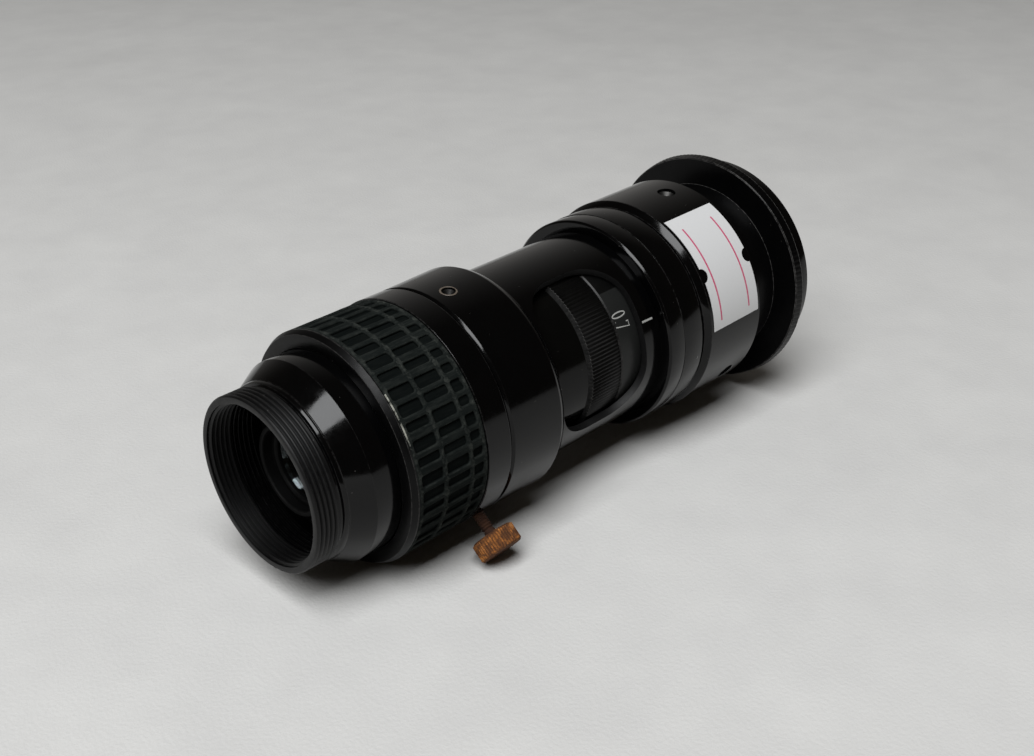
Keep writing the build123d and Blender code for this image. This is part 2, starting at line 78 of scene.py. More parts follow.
class Wires:
    # short ways to add and join shader nodes
    def __init__(self, tree):
        self.tree = tree

    def node(self, kind, **values):
        n = self.tree.nodes.new("ShaderNode" + kind)
        for key, value in values.items():
            if hasattr(n, key):
                setattr(n, key, value)
            else:
                n.inputs[key.replace("_", " ")].default_value = value
        return n

    def link(self, a, b):
        self.tree.links.new(a, b)

    def math(self, operation, a, b=None, clamp=False):
        n = self.node("Math", operation=operation, use_clamp=clamp)
        for i, v in enumerate((a, b)):
            if v is None:
                continue
            if isinstance(v, (int, float)):
                n.inputs[i].default_value = v
            else:
                self.link(v, n.inputs[i])
        return n.outputs[0]

    def near(self, value, middle, reach):
        n = self.node("Math", operation="COMPARE")
        self.link(value, n.inputs[0])
        n.inputs[1].default_value = middle
        n.inputs[2].default_value = reach
        return n.outputs[0]

    def split(self, vector):
        n = self.node("SeparateXYZ")
        self.link(vector, n.inputs[0])
        return n.outputs

    def mix(self, factor, a, b):
        n = self.node("Mix", data_type="RGBA")
        for socket, v in ((n.inputs[0], factor), (n.inputs[6], a), (n.inputs[7], b)):
            if isinstance(v, (int, float)):
                socket.default_value = v
            elif isinstance(v, tuple):
                socket.default_value = (*v, 1)
            else:
                self.link(v, socket)
        return n.outputs[2]

    def ramp(self, value, stops):
        n = self.node("ValToRGB")
        while len(n.color_ramp.elements) < len(stops):
            n.color_ramp.elements.new(0.5)
        for e, (at, c) in zip(n.color_ramp.elements, stops):
            e.position = at
            e.color = (*c, 1)
        self.link(value, n.inputs[0])
        return n.outputs[0]

    def range(self, value, low, high, toLow=0.0, toHigh=1.0):
        n = self.node("MapRange")
        self.link(value, n.inputs[0])
        for i, v in enumerate((low, high, toLow, toHigh)):
            n.inputs[i + 1].default_value = v
        return n.outputs[0]

    def noise(self, at, scale, detail=4.0, rough=0.6, warp=0.0):
        n = self.node("TexNoise", Scale=scale, Detail=detail, Roughness=rough, Distortion=warp)
        self.link(at, n.inputs[0])
        return n.outputs[0]

    def spots(self, at, scale, size):
        n = self.node("TexVoronoi", Scale=scale)
        self.link(at, n.inputs["Vector"])
        return self.math("LESS_THAN", n.outputs["Distance"], size)

    def bump(self, height, strength, distance, normal=None):
        n = self.node("Bump", Strength=strength, Distance=distance)
        self.link(height, n.inputs["Height"])
        if normal is not None:
            self.link(normal, n.inputs["Normal"])
        return n.outputs[0]

    def group(self, tree, **values):
        n = self.node("Group")
        n.node_tree = tree
        for key, v in values.items():
            if isinstance(v, (int, float)):
                n.inputs[key].default_value = v
            else:
                self.link(v, n.inputs[key])
        return n.outputs


def newGroup(name, inputs, outputs):
    tree = bpy.data.node_groups.new(name, "ShaderNodeTree")
    for side, sockets in (("INPUT", inputs), ("OUTPUT", outputs)):
        for socket, kind in sockets.items():
            tree.interface.new_socket(socket, in_out=side, socket_type="NodeSocket" + kind)
    return tree, tree.nodes.new("NodeGroupInput").outputs, tree.nodes.new("NodeGroupOutput").inputs


def lensPlace():
    # where a point lies on the lens, in millimetres: the turned point, its station, its distance
    # from the axis and its clock angle
    tree, given, out = newGroup("lensPlace", {}, {"Point": "Vector", "Station": "Float", "Radius": "Float",
                                                  "Clock": "Float", "Rings": "Vector"})
    w = Wires(tree)
    coord = w.node("TexCoord")
    turn = w.node("Mapping")
    inverse = place.inverted()
    turn.inputs["Location"].default_value = inverse.to_translation()
    turn.inputs["Rotation"].default_value = inverse.to_euler()
    turn.inputs["Scale"].default_value = (1000, 1000, 1000)
    w.link(coord.outputs["Object"], turn.inputs[0])
    x, y, z = w.split(turn.outputs[0])
    radius = w.math("SQRT", w.math("ADD", w.math("MULTIPLY", y, y), w.math("MULTIPLY", z, z)))
    clock = w.math("ARCTAN2", w.math("MULTIPLY", y, -1.0), z)
    rings = w.node("CombineXYZ")          # tool marks run round, so they vary with these two only
    w.link(x, rings.inputs[0])
    w.link(radius, rings.inputs[1])
    for name, socket in (("Point", turn.outputs[0]), ("Station", x), ("Radius", radius), ("Clock", clock),
                         ("Rings", rings.outputs[0])):
        w.link(socket, out[name])
    return tree


def edgeWear():
    # patches in which the edges marked by a piece's worn attribute are rubbed
    tree, given, out = newGroup("edgeWear", {"Share": "Float", "Point": "Vector", "Scale": "Float",
                                             "Detail": "Float", "Low": "Float", "High": "Float"}, {"Worn": "Float"})
    w = Wires(tree)
    noise = w.node("TexNoise", Roughness=0.7)
    w.link(given["Point"], noise.inputs[0])
    w.link(given["Scale"], noise.inputs["Scale"])
    w.link(given["Detail"], noise.inputs["Detail"])
    patches = w.node("MapRange")
    w.link(noise.outputs[0], patches.inputs[0])
    w.link(given["Low"], patches.inputs[1])
    w.link(given["High"], patches.inputs[2])
    w.link(w.math("MULTIPLY", given["Share"], patches.outputs[0], True), out["Worn"])
    return tree


lensGroup = lensPlace()
wearGroup = edgeWear()


def wornShare(w):
    n = w.node("Attribute", attribute_name="worn")
    return n.outputs["Fac"]


dullMark = 0.1      # share of wear that marks a dull face
dustColour = (0.45, 0.43, 0.4)


def anodised(name, look):
    # black anodised aluminium: gloss, faint turning marks, dust, bare metal on its edges, and a painted lit patch
    # where the look gives one
    material, shader = newMaterial(name)
    w = Wires(material.node_tree)
    at = w.group(lensGroup)
    cloud = w.noise(at["Point"], 0.35, 3.0)
    fine = w.noise(at["Point"], 9.0, 3.0, 0.7)
    share = wornShare(w)
    worn = w.group(wearGroup, Share=share, Point=at["Point"], Scale=1.3, Detail=5.0, Low=0.38, High=0.62)["Worn"]
    dust = w.math("MULTIPLY", w.spots(at["Point"], 0.55, look["dustSize"]), w.range(fine, 0.35, 0.6), True)
    base = w.mix(cloud, look["dark"], look["light"])
    base = w.mix(w.math("MULTIPLY", worn, look["wear"]), base, look["bare"])
    base = w.mix(w.math("MULTIPLY", dust, 0.5), base, dustColour)
    # painted light: a lighter patch on the scale band, from the window's top edge round towards the floor, standing
    # in for light that falls through the window
    if "litPanelFrom" in look:
        litTurn = w.near(at["Clock"], radians(look["litPanelMiddle"]), radians(look["litPanelHalf"]))
        paintedLitPanel = w.math("MULTIPLY", litTurn, w.math("GREATER_THAN", at["Station"], look["litPanelFrom"]))
        base = w.mix(paintedLitPanel, base, look["paintedLitPanel"])
    w.link(base, shader.inputs["Base Color"])
    uneven = w.noise(at["Point"], 0.8, 5.0, 0.65)
    rough = w.range(uneven, 0.3, 0.7, look["rough"] - 0.03, look["rough"] + 0.05)
    rough = w.math("ADD", rough, w.math("MULTIPLY", worn, 0.12))
    rough = w.math("ADD", rough, w.math("MULTIPLY", w.near(share, dullMark, 0.04), 0.45))
    if "satin" in look:
        if "satinNear" in look:
            satin = w.near(at["Station"], look["satinFrom"], look["satinNear"])
        else:
            satin = w.math("GREATER_THAN", at["Station"], look["satinFrom"])
        rough = w.math("ADD", rough, w.math("MULTIPLY", satin, look["satin"]))
    w.link(w.math("ADD", rough, w.math("MULTIPLY", dust, 0.3)), shader.inputs["Roughness"])
    w.link(w.math("MULTIPLY", worn, look["wear"] * 0.6), shader.inputs["Metallic"])
    marks = w.noise(at["Rings"], 14.0, 2.0, 0.6)
    height = w.math("ADD", w.math("MULTIPLY", marks, 0.3), w.math("MULTIPLY", fine, 0.15))
    w.link(w.bump(height, look["marks"], 0.00002), shader.inputs["Normal"])
    shader.inputs["Specular IOR Level"].default_value = look["gloss"]
    return material


blackLook = {"dark": (0.0006, 0.0006, 0.0007), "light": (0.0013, 0.0013, 0.0014), "bare": (0.3, 0.29, 0.28),
             "rough": 0.1, "gloss": 0.25, "wear": 0.05, "dustSize": 0.025, "marks": 0.25}
blackGloss = anodised("blackAnodised", blackLook)
# satin finish for the zoom ring; its panel colour is painted light on the scale band, lit below the window's top
# edge
satinLook = dict(blackLook, dark=(0.001, 0.001, 0.001), light=(0.0022, 0.0022, 0.002), rough=0.12, gloss=0.2,
                 wear=0.25, satinFrom=54.0, satin=0.24, litPanelFrom=61.66, litPanelMiddle=110.0, litPanelHalf=70.0,
                 paintedLitPanel=(0.012, 0.0125, 0.012))
blackSatin = anodised("satinAnodised", satinLook)
noseBlack = anodised("noseAnodised", dict(blackLook, wear=0.03, satinFrom=1.9, satinNear=2.4, satin=0.34))
ringSatin = anodised("frontRingAnodised", dict(blackLook, rough=0.35, gloss=0.13, wear=0.12))
innerLook = dict(blackLook, dark=(0.002, 0.002, 0.002), light=(0.004, 0.004, 0.004), rough=0.5, gloss=0.06,
                 wear=0.02)
innerBlack = anodised("mattBlackInside", innerLook)
flangeBlack = anodised("flangeAnodised", dict(blackLook, rough=0.3, gloss=0.12, wear=0.3))


def rubberMaterial(look):
    material, shader = newMaterial("gripRubber")
    w = Wires(material.node_tree)
    at = w.group(lensGroup)
    cloud = w.noise(at["Point"], 0.22, 4.0, 0.6)
    fine = w.noise(at["Point"], 6.0, 4.0, 0.7)
    grain = w.noise(at["Point"], 30.0, 2.0, 0.6)
    stretch = w.node("Mapping", vector_type="POINT")      # streaks along the lens
    stretch.inputs["Scale"].default_value = (0.35, 2.4, 2.4)
    w.link(at["Point"], stretch.inputs[0])
    brushed = w.noise(stretch.outputs[0], 1.0, 5.0, 0.65)
    worn = w.group(wearGroup, Share=wornShare(w), Point=at["Point"], Scale=0.9, Detail=4.0, Low=0.42,
                   High=0.68)["Worn"]
    low = w.range(at["Radius"], look["rootR"], look["topR"])
    base = w.mix(cloud, look["dark"], look["light"])
    base = w.mix(w.math("MULTIPLY", w.range(brushed, 0.45, 0.75), 0.55), base, look["dust"])
    base = w.mix(w.math("MULTIPLY", w.range(fine, 0.5, 0.75), 0.25), base, look["dust"])
    base = w.mix(w.math("MULTIPLY", worn, 0.5), base, look["scuff"])
    # painted shade: the pockets darken towards their floors, standing in for the shade inside them
    base = w.mix(w.range(low, 0.0, 0.7, 0.75, 0.0), base, look["deep"])
    # a pale line on the grip's front edge, kept to the turn that faces the lamp: partly wear, partly a painted
    # highlight
    edge = w.near(at["Station"], look["edgeAt"], look["edgeHalf"])
    litTurn = w.near(at["Clock"], radians(look["litEdgeMiddle"]), radians(look["litEdgeReach"]))
    broken = w.range(w.noise(at["Point"], 0.9, 4.0, 0.7), 0.38, 0.55)
    base = w.mix(w.math("MULTIPLY", w.math("MULTIPLY", edge, litTurn), broken, True), base, look["edge"])
    w.link(base, shader.inputs["Base Color"])
    w.link(w.range(fine, 0.3, 0.7, 0.55, 0.72), shader.inputs["Roughness"])
    height = w.math("ADD", w.math("MULTIPLY", fine, 0.7), w.math("MULTIPLY", grain, 0.3))
    w.link(w.bump(height, 0.35, 0.00006), shader.inputs["Normal"])
    shader.inputs["Specular IOR Level"].default_value = 0.01
    return material


# deep is a painted shade colour for the pocket floors
# edge is the colour of that pale front line, partly wear and partly a painted highlight
rubberLook = {"dark": (0.0045, 0.0058, 0.0056), "light": (0.0095, 0.0115, 0.0108), "dust": (0.026, 0.029, 0.026),
              "scuff": (0.06, 0.064, 0.057), "deep": (0.0022, 0.003, 0.0029), "rootR": 18.45, "topR": 18.84,
              "edge": (0.3, 0.3, 0.26), "edgeAt": 14.3, "edgeHalf": 0.16, "litEdgeMiddle": 55.0, "litEdgeReach": 13.0}
gripRubber = rubberMaterial(rubberLook)


def rustMaterial(look):
    material, shader = newMaterial("rustySteel")
    w = Wires(material.node_tree)
    at = w.group(lensGroup)
    patches = w.noise(at["Point"], 0.7, 6.0, 0.65, 0.4)
    fine = w.noise(at["Point"], 4.5, 6.0, 0.75)
    pits = w.noise(at["Point"], 12.0, 3.0, 0.7)
    base = w.ramp(patches, [(0.3, look["deep"]), (0.47, look["brown"]), (0.6, look["orange"]),
                            (0.75, look["pale"])])
    base = w.mix(w.range(fine, 0.42, 0.62, 0.75, 0.0), base, look["deep"])
    offset = w.node("VectorMath", operation="SUBTRACT")
    offset.inputs[1].default_value = (look["station"], 0, 0)
    w.link(at["Point"], offset.inputs[0])
    across = w.node("VectorMath", operation="CROSS_PRODUCT")
    across.inputs[1].default_value = clockPoint(0, look["angle"], 1)
    w.link(offset.outputs[0], across.inputs[0])
    away = w.node("VectorMath", operation="LENGTH")
    w.link(across.outputs[0], away.inputs[0])
    far = away.outputs["Value"]       # distance from the screw's own axis
    base = w.mix(w.range(far, look["rootR"], look["rootR"] + 0.12, 0.7, 0.0), base, look["deep"])
    # painted shadow: the rust turns dark within 1.6 mm of the screw's axis, so the shank under the head reads as
    # shaded
    base = w.mix(w.range(far, 1.1, 1.6, 0.8, 0.0), base, look["shade"])
    w.link(base, shader.inputs["Base Color"])
    w.link(w.range(fine, 0.3, 0.7, 0.7, 0.95), shader.inputs["Roughness"])
    height = w.math("ADD", w.math("MULTIPLY", fine, 0.6), w.math("MULTIPLY", pits, 0.4))
    w.link(w.bump(height, 0.9, 0.00025), shader.inputs["Normal"])
    shader.inputs["Specular IOR Level"].default_value = 0.25
    return material


# shade is a painted shadow colour for the screw's shank
rustLook = {"deep": (0.05, 0.02, 0.009), "brown": (0.2, 0.075, 0.022), "orange": (0.55, 0.2, 0.04),
            "pale": (0.75, 0.42, 0.17), "shade": (0.03, 0.014, 0.01), "station": 28.8, "angle": 130.2054,
            "rootR": 3.4}
rustySteel = rustMaterial(rustLook)


def steelMaterial(name, dark, light, rough):
    material, shader = newMaterial(name)
    w = Wires(material.node_tree)
    point = w.group(lensGroup)["Point"]
    w.link(w.mix(w.noise(point, 2.0, 5.0, 0.7), dark, light), shader.inputs["Base Color"])
    w.link(w.range(w.noise(point, 5.0, 3.0), 0.3, 0.7, rough - 0.06, rough + 0.08), shader.inputs["Roughness"])
    w.link(w.bump(w.noise(point, 14.0, 3.0), 0.3, 0.00003), shader.inputs["Normal"])
    shader.inputs["Metallic"].default_value = 1.0
    return material


screwSteel = steelMaterial("blackenedScrew", (0.02, 0.02, 0.02), (0.07, 0.068, 0.065), 0.45)
pinSteel = steelMaterial("groundSteel", (0.4, 0.4, 0.4), (0.55, 0.55, 0.54), 0.25)
washerBronze = steelMaterial("washerBronze", (0.32, 0.18, 0.07), (0.5, 0.3, 0.13), 0.35)


def glassMaterial():
    material, shader = newMaterial("coatedGlass")
    w = Wires(material.node_tree)
    point = w.group(lensGroup)["Point"]
    facing = w.node("LayerWeight", Blend=0.4)
    w.link(w.mix(facing.outputs[1], (0.62, 0.66, 0.72), (0.6, 0.72, 0.66)), shader.inputs["Base Color"])
    w.link(w.range(w.noise(point, 1.5, 4.0), 0.4, 0.8, 0.02, 0.07), shader.inputs["Roughness"])
    shader.inputs["Transmission Weight"].default_value = 1.0
    shader.inputs["IOR"].default_value = 1.3
    shader.inputs["Specular IOR Level"].default_value = 0.2
    return material


coatedGlass = glassMaterial()


def paintMaterial(name, dark, light):
    material, shader = newMaterial(name)
    w = Wires(material.node_tree)
    point = w.group(lensGroup)["Point"]
    w.link(w.mix(w.noise(point, 5.0, 4.0), dark, light), shader.inputs["Base Color"])
    w.link(w.range(w.noise(point, 9.0), 0.3, 0.7, 0.4, 0.55), shader.inputs["Roughness"])
    return material


whitePaint = paintMaterial("whiteFilling", (0.25, 0.25, 0.24), (0.4, 0.4, 0.38))
tanGlue = paintMaterial("driedGlue", (0.03, 0.024, 0.018), (0.16, 0.13, 0.1))


def paperMaterial(look):
    # white label with two pink lines, laid out by the sheet's own map: x across it, y round it
    material, shader = newMaterial("labelPaper")
    w = Wires(material.node_tree)
    across, along = w.split(w.node("UVMap", uv_map="sheet").outputs[0])[:2]
    point = w.group(lensGroup)["Point"]
    fibre = w.noise(point, 3.5, 5.0, 0.7)
    base = w.mix(fibre, look["white"], look["shade"])
    for middle in look["lines"]:
        line = w.math("MULTIPLY", w.near(across, middle, look["half"]),
                      w.near(along, look["middle"], look["reach"]))
        base = w.mix(w.math("MULTIPLY", line, w.range(fibre, 0.3, 0.6, 0.75, 1.0)), base, look["pink"])
    w.link(base, shader.inputs["Base Color"])
    w.link(w.range(fibre, 0.3, 0.7, 0.55, 0.7), shader.inputs["Roughness"])
    w.link(w.bump(w.noise(point, 8.0, 4.0), 0.25, 0.00004), shader.inputs["Normal"])
    shader.inputs["Specular IOR Level"].default_value = 0.3
    return material


print("materials ready")


# modelling helpers

def newObject(name, bm):
    mesh = bpy.data.meshes.new(name)
    bm.to_mesh(mesh)
    bm.free()
    made = bpy.data.objects.new(name, mesh)
    bpy.context.scene.collection.objects.link(made)
    return made


def toMesh(bm, name, body, material, nodes=(), smoothAngle=28):
    # puts a finished bmesh on the lens and hands it to the frame
    bmesh.ops.transform(bm, matrix=place, verts=bm.verts)
    piece = newObject(name, bm)
    mesh = piece.data
    for polygon in mesh.polygons:
        polygon.use_smooth = True
    mesh.set_sharp_from_angle(angle=radians(smoothAngle))
    mesh.materials.append(material)
    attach(piece, body)
    if nodes:
        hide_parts(*nodes)
    return piece


def newBmesh():
    bm = bmesh.new()
    bm.faces.layers.float.new("worn")
    return bm


def spin(bm, points, axis, steps, closed=False):
    # turns a line of points in the x z plane all the way round
    corners = [bm.verts.new((x, 0, z)) for x, z in points]
    onward = corners[1:] + corners[:1] if closed else corners[1:]
    edges = [bm.edges.new(pair) for pair in zip(corners, onward)]
    bmesh.ops.spin(bm, geom=corners + edges, cent=(0, 0, 0), axis=axis, dvec=(0, 0, 0), angle=2 * pi,
                   steps=steps, use_merge=True, use_duplicate=False)
    bmesh.ops.remove_doubles(bm, verts=bm.verts, dist=0.0005)


def bevelEdges(bm, edges, offset, segments):
    made = bmesh.ops.bevel(bm, geom=edges, offset=offset, offset_type="OFFSET", segments=segments, profile=0.5,
                           affect="EDGES", clamp_overlap=True, material=-1)
    return made["faces"]


def turned(outline, steps=240, soften=0.07, wear=1.0):
    # turns a closed outline of stations and radii, then breaks its edges
    bm = newBmesh()
    spin(bm, outline, (1, 0, 0), steps, closed=True)
    bmesh.ops.recalc_face_normals(bm, faces=bm.faces)
    if soften:
        sharp = [e for e in bm.edges if len(e.link_faces) == 2 and e.calc_face_angle(0) > radians(22)
                 and abs(e.verts[0].co.x - e.verts[1].co.x) < 0.0001]
        rounded = bevelEdges(bm, sharp, soften, 2)
        layer = bm.faces.layers.float["worn"]
        for f in rounded:
            f[layer] = wear
    return bm


def knurl(bm, teeth, depth, onBand):
    # presses teeth along the lens into a band chosen by station and radius
    for v in bm.verts:
        r = v.co.yz.length
        if onBand(v.co.x, r):
            lean = atan2(v.co.y, v.co.z) * teeth
            scale = (r - (0.5 - 0.5 * cos(lean)) * depth) / r
            v.co.y *= scale
            v.co.z *= scale


def markFaces(bm, test, value):
    layer = bm.faces.layers.float["worn"]
    for f in bm.faces:
        c = f.calc_center_median()
        if test(c.x, sqrt(c.y * c.y + c.z * c.z), f.normal):
            f[layer] = value


def cutAway(bm, cutters, thick=None):
    # takes the cutters out of a piece, or out of a flat sheet once it has its thickness
    solid = newObject("solid", bm)
    if thick:
        wall = solid.modifiers.new("wall", "SOLIDIFY")
        wall.thickness = thick
        wall.offset = 1
    tools = [newObject("tool", cutter) for cutter in cutters]
    for tool in tools:
        modifier = solid.modifiers.new("cut", "BOOLEAN")
        modifier.operation = "DIFFERENCE"
        modifier.solver = "EXACT"
        modifier.object = tool
    graph = bpy.context.evaluated_depsgraph_get()
    mesh = bpy.data.meshes.new_from_object(solid.evaluated_get(graph))
    for made in [solid] + tools:
        bpy.data.objects.remove(made)
    bm = bmesh.new()
    bm.from_mesh(mesh)
    if bm.faces.layers.float.get("worn") is None:
        bm.faces.layers.float.new("worn")
    return bm


def drilled(bm, holes):
    # cuts round holes, each given by station, clock angle, radius and how deep it starts and ends
    cutter = bmesh.new()
    for s, angle, r, low, top in holes:
        made = bmesh.ops.create_cone(cutter, cap_ends=True, segments=48, radius1=r, radius2=r,
                                     depth=top - low)["verts"]
        bmesh.ops.transform(cutter, matrix=clockFrame(s, angle, (low + top) / 2), verts=made)
    return cutAway(bm, [cutter])


def roundShading(piece):
    # a cut wall keeps the even shading of a turned one
    mesh = piece.data
    axis = (place.to_3x3() @ Vector((1, 0, 0))).normalized()
    origin = place @ Vector((0, 0, 0))
    normals = [Vector(n.vector) for n in mesh.corner_normals]
    for polygon in mesh.polygons:
        lean = polygon.normal.dot(axis)
        c = polygon.center - origin
        out = (c - axis * c.dot(axis)).normalized()
        if abs(lean) > 0.1 or abs(polygon.normal.dot(out)) < 0.99:
            continue
        side = 1 if polygon.normal.dot(out) > 0 else -1
        for i in polygon.loop_indices:
            q = mesh.vertices[mesh.loops[i].vertex_index].co - origin
            normals[i] = (q - axis * q.dot(axis)).normalized() * side * sqrt(1 - lean * lean) + axis * lean
    mesh.normals_split_custom_set([tuple(n) for n in normals])


def turnedPiece(name, outline, body, material, node, steps=240, soften=0.07, wear=1.0, also=None, holes=()):
    bm = turned(outline, steps, soften, wear)
    if also:
        also(bm)
    if holes:
        bm = drilled(bm, holes)
    piece = toMesh(bm, name, body, material, [node])
    if holes:
        roundShading(piece)
    return piece


def stroke(name, points, width, r, body, material, slot, thick=0.03, closed=False):
    # a painted line: points are station and clock angle, laid on a round surface
    curve = bpy.data.curves.new(name, "CURVE")
    curve.dimensions = "3D"
    curve.bevel_depth = width / 2
    curve.bevel_resolution = 3
    curve.use_fill_caps = True
    spline = curve.splines.new("POLY")
    spline.points.add(len(points) - 1)
    for p, (s, angle) in zip(spline.points, points):
        p.co = (s, radians(angle) * r, 0, 1)
    spline.use_cyclic_u = closed
    holder = bpy.data.objects.new(name, curve)
    mesh = bpy.data.meshes.new_from_object(holder)
    bpy.data.objects.remove(holder)
    bm = bmesh.new()
    bm.from_mesh(mesh)
    bm.faces.layers.float.new("worn")
    for v in bm.verts:
        v.co = clockPoint(v.co.x, degrees(v.co.y / r), r + v.co.z * thick / width)
    bmesh.ops.recalc_face_normals(bm, faces=bm.faces)
    return toMesh(bm, name, body, material)


def joined(name, pieces):
    # gathers several marks in one object
    bm = bmesh.new()
    for piece in pieces:
        bm.from_mesh(piece.data)
    mesh = pieces[0].data
    bm.to_mesh(mesh)
    bm.free()
    for piece in pieces[1:]:
        bpy.data.objects.remove(piece)
    pieces[0].name = name
    return pieces[0]


# nose

# outlines are pairs of a station and a radius
nose = {"rimR": 13.7, "crestR": 13.9, "rootR": 13.5, "pitch": 0.79, "turns": 5, "boreR": 12.8, "boreCrestR": 12.38,
        "boreTurns": 10,
        "neck": [(4.1, 13.55), (4.55, 13.55), (4.7, 14.0), (5.25, 14.19), (5.29, 14.12), (5.36, 14.16)],
        "cone": [(5.4, 14.26), (8.7, 16.15)],
        "tube": [(18.5, 16.15), (18.5, 15.4), (31, 15.4), (31, 13.7)],
        "cellSeat": [(21.9, 13.7), (21.9, 11.6), (19.9, 11.6), (19.9, 12.8)]}


def noseOutline():
    n = nose
    outline = [(0, n["boreR"] - 0.05), (0, n["rimR"] - 0.05)]
    for i in range(n["turns"]):
        s = 0.22 + i * n["pitch"]
        outline += [(s, n["crestR"] - 0.04), (s + 0.12, n["crestR"]), (s + 0.26, n["crestR"]),
                    (s + 0.5, n["rootR"]), (s + 0.58, n["rootR"])]
    outline += n["neck"] + n["cone"] + n["tube"] + n["cellSeat"]
    for i in reversed(range(n["boreTurns"])):
        s = 0.45 + i * n["pitch"]
        outline += [(s + 0.62, n["boreR"]), (s + 0.5, n["boreR"]), (s + 0.3, n["boreCrestR"]),
                    (s + 0.16, n["boreCrestR"]), (s, n["boreR"])]
    return outline + [(0.35, n["boreR"]), (0.3, n["boreR"] - 0.02)]


def noseWear(bm):
    markFaces(bm, lambda s, r, n: n.x < -0.9 and s < 0.1, 0.75)
    markFaces(bm, lambda s, r, n: s < 4.1 and r > 13.8, 0.55)
    markFaces(bm, lambda s, r, n: 0.4 < s < 8.5 and r < 12.45, 0.3)


turnedPiece("nose_shell", noseOutline(), "nose", noseBlack, "nose_barrel", soften=0.035,
            also=noseWear)

frontCell = {"rim": [(5.6, 6.5), (5.4, 6.6), (5.4, 7.2)], "cone": [(8.9, 8.7), (9.6, 9.2)],
             "outside": [(9.6, 12.45), (9.8, 12.75), (19.9, 12.75), (19.9, 8.2)],
             "lensSeat": [(12.4, 8.2), (12.4, 5.8), (11.4, 5.8), (11.4, 6.5)]}
frontLensRing = {"outline": [(7.35, 5.4), (7.05, 5.7), (7.05, 6.45), (8.15, 6.45), (7.98, 5.4)]}
turnedPiece("cell_shell", sum(frontCell.values(), []), "nose", innerBlack, "front_cell", steps=160)
turnedPiece("lens_ring_shell", frontLensRing["outline"], "nose", innerBlack, "front_lens_ring",
            steps=160, soften=0.04)


def lensPiece(name, s1, s2, bulge1, bulge2, r, body, node):
    # an element spun from half of its section, bowed by parabolic faces
    shares = [i / 12 for i in range(13)]
    outline = [(s1 - bulge1 * (1 - q * q), r * q) for q in shares]
    outline += [(s2 + bulge2 * (1 - q * q), r * q) for q in reversed(shares)]
    bm = newBmesh()
    spin(bm, outline, (1, 0, 0), 120)
    bmesh.ops.recalc_face_normals(bm, faces=bm.faces)
    return toMesh(bm, name, body, coatedGlass, [node])


lensPiece("front_glass", 8.2, 11.3, 0.55, 0.0, 6.45, "nose", "front_lens")
lensPiece("rear_glass", 90.1, 93.9, 0.0, 1.2, 10.95, "body", "rear_lens")
print("nose modelled")


# focus ring

frontRing = {"lip": [(13.07, 16.25), (13.07, 18.33), (13.98, 18.86), (14.2, 18.86)],
             "sleeve": [(14.2, 17.35), (18.0, 17.35), (18.0, 16.25)]}
focusRing = {"gripSeat": [(14.25, 17.4), (14.25, 17.95), (27.57, 17.95)], "collar": [(27.57, 19.0), (32.2, 19.0)],
             "bore": [(32.2, 16.9), (24.05, 16.9), (24.05, 17.4)]}
focusHoles = [(28.8, 130.2054, 1.08, 16, 20)]
turnedPiece("front_ring_shell", sum(frontRing.values(), []), "focus", ringSatin,
            "focus_front_ring", soften=0.06)
turnedPiece("focus_ring_shell", sum(focusRing.values(), []), "focus", blackGloss, "focus_ring",
            soften=0.14, holes=focusHoles)

grip = {"bars": 44, "front": 14.2, "back": 27.55, "rows": [(15.0, 19.0), (19.8, 24.05), (24.85, 26.75)],
        "topR": 18.85, "floorR": 18.38, "innerR": 17.95, "cells": 6, "sunk": 3, "wider": 0.4,
        "corner": 0.35, "rim": 0.24, "rimWear": 0.35}


